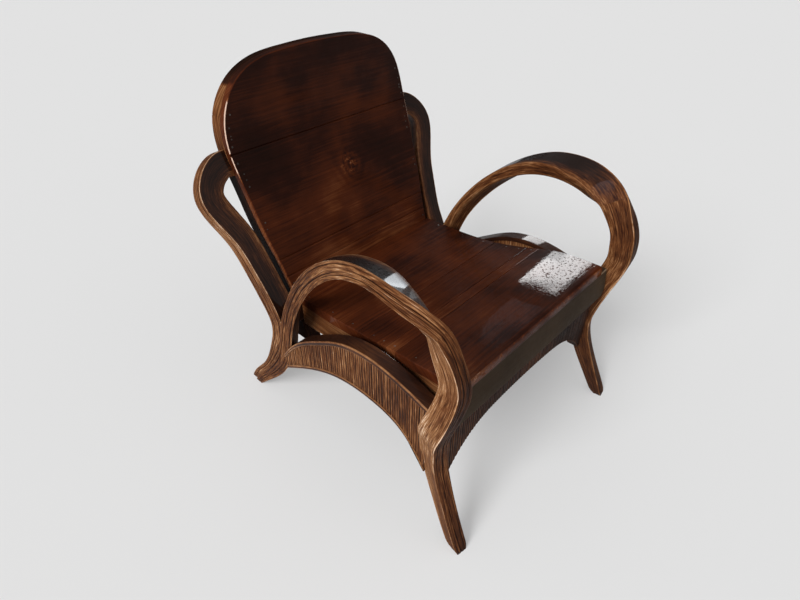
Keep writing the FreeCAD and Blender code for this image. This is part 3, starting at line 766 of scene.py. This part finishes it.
for index, name in enumerate(("seat_board_front", "seat_board_strip", "seat_board_middle",
                              "seat_board_rear")):
    y0 = edges[index] + (seam / 2 if index else 0)
    y1 = edges[index + 1] - seam / 2
    ys = [y0] + [y for y in plan_y if y0 < y < y1] + [y1]
    edge_run = [(plan_half(y), y) for y in ys]
    outline = edge_run + [(-x, y) for x, y in edge_run[::-1]]
    cuts = [(1, y) for y in np.arange(y0 + 4, y1 - 1, 12)]

    def seat_uv(x, y, d, index=index):
        return (x * 0.001 + index * 3.7, y * 0.001 + d * 0.001)

    def seat_wear_and_painted_light(points, index=index):
        # Each board keeps its own wear share; the -x part is painted paler, as painted light over the arm
        # loop's shadow there
        return seat_shares[index] + np.where(points[:, 0] < -140, 0.10, 0.0)

    nose = index == 0
    if nose:
        cuts += [(1, front_y + step) for step in (1.7, 2.3, 3.2, 5.0, 7.0, 9.0)]
    plate("top_" + name, outline, board, 1.6, on_seat, cuts, "seat_wood", name, uv=seat_uv, edge_share=0.0,
          shape=seat_nose if nose else None, lit=nose_scuffs if nose else None, wear=seat_wear_and_painted_light)

# Back boards
outline_line = Line([(x * half_width, level(z, back_height)) for x, z in BACK_OUTLINE]
                    + [(-x * half_width, level(z, back_height)) for x, z in BACK_OUTLINE[-2::-1]])
whole = outline_line.even(160)
back_half = np.array([p for p in outline_line.even(400) if p[0] > 0])
levels = [back_foot_z] + [level(s, back_height) for s in (0.943, 1.040, 1.580)] + [2000]
worn_top = 752.0


def clip_band(points, low_z, high_z):
    """Part of an outline between two heights, kept as one closed run."""
    out = []
    n = len(points)
    for i in range(n):
        a, b = points[i], points[(i + 1) % n]
        if low_z <= a[1] <= high_z:
            out.append(tuple(a))
        for z in ((low_z, high_z) if b[1] > a[1] else (high_z, low_z)):
            if (a[1] - z) * (b[1] - z) < 0:
                s = (z - a[1]) / (b[1] - a[1])
                out.append((a[0] + s * (b[0] - a[0]), z))
    return out


def outline_half(z):
    """Half width of the back at a height."""
    run = back_half[back_half[:, 1] <= back_height - 30]
    return np.interp(z, run[:, 1], run[:, 0])


def outline_wear_and_highlight(points, front_edge):
    """Pale line along the round outer edge of the back, partly rubbed wear and partly a painted highlight
    that is strongest between 560 and 735 mm high, and none at the seams.
    """
    x, z = points[:, 0], points[:, 1]
    apart = np.min(np.abs(z[:, None] - np.array(levels[1:4])), axis=1) > 2.0
    # The brighter band between 560 and 735 mm is a painted highlight on the rounded edge
    share = 0.4 + 2.0 * np.clip((z - 560) / 40, 0, 1) * np.clip((735 - z) / 20, 0, 1)
    outside = (np.abs(x) > outline_half(z) - 2.3) | (z > 745)
    return np.where(front_edge & apart & outside, share, 0.0)


def back_wear(points):
    """The back is lighter towards the seat, and its side edges are worn up to a height."""
    x, z = points[:, 0], points[:, 2]
    y = np.array([back_front(value)[0] for value in z])
    side = (np.abs(x) > outline_half(z) - 1.0) & (points[:, 1] > y + 2.0) & (z < worn_top)
    return np.where(side, 0.24, 0.0) + np.interp(z, (300, 430, 560, 800), (0.28, 0.16, -0.02, -0.06))


for index, name in enumerate(("back_board_foot", "back_board_lower", "back_board_middle", "back_board_top")):
    outline = clip_band(whole, levels[index] + seam / 2, levels[index + 1] - seam / 2)
    highest = min(levels[index + 1], back_height)
    cuts = [(1, z) for z in np.arange(levels[index] + 6, highest - 3, 12)]

    def back_uv(x, z, d, index=index):
        return (x * 0.001 + index * 2.9 + 1.3, z * 0.001 + d * 0.001)

    plate("face_" + name, outline, back_thick, 2.4, on_back, cuts, "back_wood", name, uv=back_uv,
          wear=back_wear, lit=outline_wear_and_highlight)

# Hoop
joint_z = level(1.745, back_height)
hoop_low = level(0.505, back_height)
rear_low = back_face_point(hoop_low, back_thick + 1.48 * hoop_depth)
rear_start = back_face_point(arc_start[1], back_thick + hoop_depth)
rear_end = back_face_point(arc_end[1], back_thick + 0.97 * hoop_depth)
rear_top = back_face_point(back_height + 60, back_thick + 0.30 * hoop_depth)


def hoop_rear(z):
    """Depth of the hoop's rear face at a height."""
    if z <= rear_start[1]:
        return float(np.interp(z, (rear_low[1], rear_start[1]), (rear_low[0], rear_start[0])))
    if z >= rear_end[1]:
        return float(np.interp(z, (rear_end[1], rear_top[1]), (rear_end[0], rear_top[0])))
    deep = float(np.interp(z, (rear_start[1], rear_end[1]), (hoop_depth, 0.97 * hoop_depth)))
    radius = bend_radius + back_thick + deep
    return centre[0] + math.sqrt(radius ** 2 - (centre[1] - z) ** 2)


outer = outline_line.even(240)
slope = outline_line.slope(np.linspace(0, outline_line.t[-1], 240))
inward = np.stack([-slope[:, 1], slope[:, 0]], 1)
inner = outer + inward * hoop_width


def cut_at(line_points, z):
    """Point where a run crosses a height."""
    for a, b in zip(line_points, line_points[1:]):
        if (a[1] - z) * (b[1] - z) <= 0 and a[1] != b[1]:
            s = (z - a[1]) / (b[1] - a[1])
            return (a[0] + s * (b[0] - a[0]), z)


def run_above(points, z):
    """The part of a run above a height."""
    keep = [tuple(p) for p in points if p[1] > z]
    first = cut_at(points, z)
    last = cut_at(points[::-1], z)
    return [first] + keep + [last]


def run_left(points, low_z, high_z):
    """The first half of a run between two heights, straight down below its own start."""
    half = points[:len(points) // 2]
    keep = [tuple(p) for p in half if low_z < p[1] < high_z]
    return [(half[0][0], low_z)] + keep + [cut_at(half, high_z)]


def hoop_wear(points):
    """The hoop's sides are worn pale up to a height, and its top is dark."""
    share = np.clip((worn_top - points[:, 2]) / 5, 0, 1) * np.clip((points[:, 2] - 598) / 6, 0, 1)
    return 0.08 + 0.42 * share


def hoop_piece(name, outline, cuts, node, side=1, uv=None):
    """A hoop piece: its depth runs over the hoop's own thickness."""
    def place(x, z, d):
        y, out = back_front(z)
        start = y + back_thick / out[0]
        return (x, start + (hoop_rear(z) - start) * d / hoop_depth, z)
    plate(name, outline, hoop_depth, 1.0, place, cuts, "hoop_wood", node, side, uv=uv, back_radius=2.5,
          wear=hoop_wear, edge_share=0.2)


outline = run_above(outer, joint_z + seam / 2) + run_above(inner, joint_z + seam / 2)[::-1]
hoop_piece("hoop_top_bow", outline, [(1, z) for z in np.arange(joint_z + 5, 799, 8)], "back_hoop_top",
           uv=lambda x, z, d: (x * 0.001 + z * 0.0004, z * 0.0003 + d * 0.001))
for side, tag in SIDES:
    end_z = joint_z - seam / 2
    outline = run_left(outer, hoop_low, end_z) + run_left(inner, hoop_low, end_z)[::-1]
    hoop_piece("hoop_side_" + tag, outline, [(1, z) for z in np.arange(hoop_low + 5, joint_z - 3, 14)],
               "back_hoop_side_" + tag, side, uv=lambda x, z, d: (z * 0.001, x * 0.001 + d * 0.001))

# Fascia below the seat's front edge
fascia_y = 0.096 * depth_all
fascia_half = 0.900 * half_width
fascia_foot = seat_height - board - fascia_high
fascia_drop = seat_height - fascia_foot
curve_samples = Line([(seat_height, 0), (fascia_foot + fascia_drop / 2, -6),
                      (fascia_foot + fascia_drop / 5, -8), (fascia_foot, -6)]).even(60)[::-1]


def on_fascia(x, z, d):
    front = float(np.interp(z, curve_samples[:, 0], curve_samples[:, 1]))
    return (x, fascia_y + front * (1 - d / fascia_thick) + d, z)


top_z = seat_z(fascia_y) - board
outline = [(-fascia_half, fascia_foot), (fascia_half, fascia_foot), (fascia_half, top_z),
           (-fascia_half, top_z)]
plate("front_board", outline, fascia_thick, 3.0, on_fascia,
      [(1, z) for z in np.arange(fascia_foot + 8, top_z - 4, 10)], "fascia_wood", "front_fascia")


# Reeded aprons
def reeds(groove):
    """Upright reeds cut by hand: their valleys wander and differ in depth."""
    def shape(points):
        a, up = points[:, 0], points[:, 1]
        s = a / reed_pitch + 0.30 * np.sin(a / 23.0) + 0.18 * np.sin(a / 9.1 + up / 60.0)
        reed = np.floor(s)
        d = np.abs(2 * (s - reed) - 1) ** 2.2 * (0.70 + 0.30 * np.sin(reed * 2.7 + np.round(s - reed)))
        fade = np.where(points[:, 2] < 3.0, 1.0, 0.0)
        return d * groove * fade, d * fade
    return shape


def evenly(share):
    return lambda points: np.full(len(points), share)


def uv_along(a, b, d):
    return (a * 0.001, b * 0.001 + d * 0.001)


def reed_cuts(start, end):
    """Eight cuts for each reed."""
    marks = np.arange(math.floor(start / reed_pitch) * reed_pitch, end, reed_pitch / 8)
    return [(0, m) for m in marks if start + 0.5 < m < end - 0.5]


arch = [(x * half_width, z * seat_height) for x, z in FRONT_ARCH]
arch = [(-x, z) for x, z in arch[:0:-1]] + arch
arch_line = [tuple(p) for p in Line(arch).even(90)]
apron_y = fascia_y + 8
arch_line = [p for p in arch_line if abs(p[0]) < 262]
corner_x, corner_z = 275, 230
outline = arch_line + [(corner_x, corner_z), (fascia_half, fascia_foot), (-fascia_half, fascia_foot),
                       (-corner_x, corner_z)]
plate("front_rail", outline, front_apron_thick, 1.0, lambda x, z, d: (x, apron_y + d, z),
      reed_cuts(-fascia_half, fascia_half), "reeded_rail_wood", "front_apron", shape=reeds(1.4),
      uv=lambda x, z, d: (z * 0.001, x * 0.001), flat=60, wear=evenly(0.24))

top = Line([(y * depth_all, z * seat_height) for y, z in APRON_TOP]).even(80)
bottom = Line([(y * depth_all, z * seat_height) for y, z in APRON_BOTTOM]).even(80)
apron_x = 0.910 * half_width
for side, tag in SIDES:
    box_low, box_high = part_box("side_apron_" + tag)
    y_low, y_high = box_low.y * 1000 + centre_y, box_high.y * 1000 + centre_y

    def within(points):
        return [tuple(p) for p in points if y_low + 1 < p[0] < y_high - 1]

    upper = within(top - np.array([0, cap_high]))
    lower = within(bottom + np.array([0, bead_high]))
    panel = upper + lower[::-1]
    plate("side_panel_" + tag, panel, panel_thick, 0.6, lambda y, z, d: (apron_x - d, y, z),
          reed_cuts(y_low, y_high), "reeded_rail_wood", "side_apron_" + tag, side, shape=reeds(1.5),
          uv=lambda y, z, d: uv_along(z, y, d), flat=60, wear=evenly(0.50))
    cap = within(top) + upper[::-1]
    plate("side_cap_" + tag, cap, cap_thick, 3.5, lambda y, z, d: (apron_x + cap_proud - d, y, z),
          [], "moulding_wood", "side_apron_cap_" + tag, side, back_radius=3.0, uv=uv_along)
    bead = lower + within(bottom)[::-1]
    plate("side_bead_" + tag, bead, bead_thick, 3.0, lambda y, z, d: (apron_x + bead_proud - d, y, z),
          [], "moulding_wood", "side_apron_bead_" + tag, side, uv=uv_along)
    box_low, box_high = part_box("seat_rail_" + tag)
    y_low, y_high = box_low.y * 1000 + centre_y, box_high.y * 1000 + centre_y
    ys = np.linspace(y_low, y_high, 40)
    rail_top = [(y, seat_z(y) - board) for y in ys]
    y_a, y_b = SEAT_TOP[0][0] * depth_all, SEAT_TOP[-1][0] * depth_all
    rail_low = [(y, seat_z(y) - board - rail_high - rail_gain * (y - y_a) / (y_b - y_a)) for y in ys]
    plate("side_rail_" + tag, rail_top + rail_low[::-1], rail_thick, 2.0,
          lambda y, z, d: (plan_half(y) - 5 - d, y, z), [], "frame_wood", "seat_rail_" + tag, side,
          uv=uv_along, wear=evenly(0.22))


# Nail heads
def nails(name, places, slot, node):
    """Small domed heads, each given by its middle and its way out."""
    points, faces, corners = [], [], 10
    for number, (middle, out) in enumerate(places):
        middle, out = np.array(middle, float), unit(np.array(out, float))
        across = unit(np.cross(out, (0.0, 0.0, 1.0) if abs(out[2]) < 0.9 else (1.0, 0.0, 0.0)))
        other = np.cross(out, across)
        size = 1.9 + 0.4 * math.sin(number * 2.3)
        first = len(points)
        for radius, height in ((1.0, -0.4), (0.96, 0.25), (0.55, 0.6)):
            for k in range(corners):
                turn = math.tau * k / corners
                around = across * math.cos(turn) + other * math.sin(turn)
                points.append(middle + around * size * radius + out * height)
        for ring in (0, 1):
            for k in range(corners):
                a, b = first + ring * corners + k, first + ring * corners + (k + 1) % corners
                faces.append((a, b, b + corners, a + corners))
        faces.append(tuple(first + 2 * corners + k for k in range(corners)))
        faces.append(tuple(first + corners - 1 - k for k in range(corners)))
    uvs = [[(points[i][0] * 0.001, points[i][2] * 0.001) for i in face] for face in faces]
    zero = np.zeros(len(points))
    ob = make(name, points, faces, uvs, {"deep": zero, "edge": zero, "wear": zero}, slot, node)
    ob.data.materials[0] = materials["nail_iron"]
    close_up(ob)


def back_nail(x, z):
    """A place on the back's front face, with the way out of it."""
    y, out = back_front(z)
    return (x, y, z), (0, -out[0], -out[1])


back_inset, seat_inset = 11, 12
back_heights = [z + step for z in (330, 470, 560, 640) for step in (0, 14)] + [586, 608, 660, 676, 700]
nails("back_nails", [back_nail(s * (float(outline_half(z)) - back_inset - 2 * math.sin(z)), z)
                     for s in (-1, 1) for z in back_heights], "back_wood", "back_board_middle")
seat_rows = [(s * (plan_half(y) - seat_inset), y) for s in (-1, 1)
             for y in (80, 128, 176, 236, 268, 300, 366, 430, 510)]
nails("seat_nails", [((x, y, seat_z(y)), (0, (seat_z(y - 1) - seat_z(y + 1)) / 2, 1)) for x, y in seat_rows],
      "seat_wood", "seat_board_middle")

# CAD parts that stay as they are
for name in ("back_batten_lower", "back_batten_upper", "rear_cross_rail", "seat_bearer_front",
             "seat_bearer_rear", "corner_block_left", "corner_block_right", "scarf_tongue_left",
             "scarf_tongue_right"):
    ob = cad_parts[name]
    ob.data.materials.clear()
    ob.data.materials.append(materials["frame_wood"])


# Stage
def times(tree, value, factor):
    """A node that multiplies a value by a factor."""
    item = tree.nodes.new("ShaderNodeMath")
    item.operation = "MULTIPLY"
    item.inputs[1].default_value = factor
    tree.links.new(value, item.inputs[0])
    return item.outputs[0]


floor_half = 12.0
floor = bpy.data.meshes.new("floor")
floor.from_pydata([(x * floor_half, y * floor_half, 0) for x, y in ((-1, -1), (1, -1), (1, 1), (-1, 1))],
                  [], [(0, 1, 2, 3)])
floor_ob = bpy.data.objects.new("floor", floor)
bpy.context.scene.collection.objects.link(floor_ob)
floor_mat = bpy.data.materials.new("floor")
floor_mat.use_nodes = True
floor_nodes, floor_links = floor_mat.node_tree.nodes, floor_mat.node_tree.links
pale = colour(226, 226, 226)
# The floor gives some of its own light to the camera alone, so that its shadow stays pale
glow_share = 0.38
floor_shader = floor_nodes["Principled BSDF"]
floor_shader.inputs["Base Color"].default_value = pale
floor_shader.inputs["Roughness"].default_value = 0.9
floor_shader.inputs["Specular IOR Level"].default_value = 0.0
glow = floor_nodes.new("ShaderNodeEmission")
glow.inputs["Color"].default_value = pale
rays = floor_nodes.new("ShaderNodeLightPath")
blend = floor_nodes.new("ShaderNodeMixShader")
floor_links.new(times(floor_mat.node_tree, rays.outputs["Is Camera Ray"], glow_share), blend.inputs[0])
floor_links.new(floor_shader.outputs[0], blend.inputs[1])
floor_links.new(glow.outputs[0], blend.inputs[2])
floor_links.new(blend.outputs[0], floor_nodes["Material Output"].inputs[0])
floor.materials.append(floor_mat)

# A sky that is bright on the camera's side and a broad soft sun light the floor to its
# own colour, and the sky itself is seen as pale as the floor
sky_share = 0.44
world = bpy.data.worlds.new("studio")
bpy.context.scene.world = world
world.use_nodes = True
sky = world.node_tree.nodes["Background"]
sky.inputs["Color"].default_value = (1.0, 1.0, 1.0, 1)
bright_way = Vector((-0.72, -0.60, 0.30)).normalized()
sky_range = (-0.75, 0.45, 0.10, 1.0)
sky_nodes, sky_links = world.node_tree.nodes, world.node_tree.links
direction = sky_nodes.new("ShaderNodeTexCoord")
toward = sky_nodes.new("ShaderNodeVectorMath")
toward.operation = "DOT_PRODUCT"
toward.inputs[1].default_value = bright_way
sky_links.new(direction.outputs["Generated"], toward.inputs[0])
fade = sky_nodes.new("ShaderNodeMapRange")
for k, value in enumerate(sky_range):
    fade.inputs[k + 1].default_value = value
sky_links.new(toward.outputs["Value"], fade.inputs[0])


def floor_light():
    """Share of a plain sky's light that this sky gives the floor."""
    got = whole_sky = 0.0
    for i in range(40):
        height = (i + 0.5) / 40
        for k in range(80):
            turn = math.tau * k / 80
            flat_part = math.sqrt(1 - height * height)
            way = Vector((flat_part * math.cos(turn), flat_part * math.sin(turn), height))
            share = (way.dot(bright_way) - sky_range[0]) / (sky_range[1] - sky_range[0])
            share = min(max(share, 0), 1)
            got += height * (sky_range[2] + (sky_range[3] - sky_range[2]) * share)
            whole_sky += height
    return got / whole_sky


seen = sky_nodes.new("ShaderNodeLightPath")
backdrop = sky_nodes.new("ShaderNodeMix")
sky_links.new(seen.outputs["Is Camera Ray"], backdrop.inputs["Factor"])
sky_links.new(times(world.node_tree, fade.outputs[0], sky_share / floor_light()), backdrop.inputs["A"])
backdrop.inputs["B"].default_value = pale[0]
sky_links.new(backdrop.outputs["Result"], sky.inputs["Strength"])
sun_way = Vector((-1.45, -0.06, 1.0)).normalized()
sun = bpy.data.lights.new("sun", "SUN")
sun.energy = (1 - sky_share) * math.pi / sun_way.z
sun.angle = math.radians(28)
sun_ob = bpy.data.objects.new("sun", sun)
sun_ob.rotation_euler = sun_way.to_track_quat("Z", "Y").to_euler()
sun_ob.visible_glossy = False
bpy.context.scene.collection.objects.link(sun_ob)


def window(name, aim, start, end, high, distance, strength, tint, shape="RECTANGLE"):
    """A window's reflection: a far lamp that shows in the varnish alone. It is seen from
    aim between two directions, and high is its other size as a share of the distance."""
    start, end = Vector(start).normalized(), Vector(end).normalized()
    away = (start + end).normalized()
    across = end - start
    across = (across - away * across.dot(away)).normalized()
    data = bpy.data.lights.new(name, "AREA")
    data.shape = shape
    data.size = (end - start).length * distance
    data.size_y = high * distance
    data.energy = strength * data.size * data.size_y * math.pi
    data.color = tint
    ob = bpy.data.objects.new(name, data)
    turn = Matrix((across, away.cross(across), away)).transposed().to_4x4()
    turn.translation = Vector(aim) + away * distance
    ob.matrix_world = turn
    ob.visible_diffuse = False
    ob.visible_camera = False
    bpy.context.scene.collection.objects.link(ob)


window("seat_window", (0.17, -0.22, 0.38), (0.75, 0.535, 0.37), (0.78, 0.33, 0.53), 0.12, 5.0, 22, (1, 1, 1))
window("seat_haze", (0.0, -0.25, 0.38), (0.70, 0.52, 0.50), (0.69, 0.36, 0.64), 0.17, 5.0, 0.4,
       (0.85, 0.88, 1), "ELLIPSE")
window("arm_window", (-0.28, -0.19, 0.56), (0.94, 0.31, 0.10), (0.91, 0.40, -0.14), 0.3, 2.5, 7,
       (0.9, 0.95, 1))
window("twist_window", (0.29, -0.25, 0.55), (-0.95, -0.25, 0.25), (-0.41, -0.13, 0.90), 0.35, 5.0, 1.8,
       (0.9, 0.85, 1), "ELLIPSE")

# Camera at the photograph's place
camera = bpy.data.cameras.new("view")
camera.lens = 25.2
camera.sensor_width = 36
camera.clip_end = 60
camera_ob = bpy.data.objects.new("view", camera)
bpy.context.scene.collection.objects.link(camera_ob)
right = Vector((0.6832, -0.7302, 0)).normalized()
forward = Vector((0.5841, 0.5466, -0.6)).normalized()
up = right.cross(forward)
place = Matrix((right, up, -forward)).transposed().to_4x4()
place.translation = Vector((-0.8104, -0.3153 - centre_y * 0.001, 1.0699))
camera_ob.matrix_world = place
bpy.context.scene.camera = camera_ob

bpy.context.scene.view_settings.view_transform = "Standard"
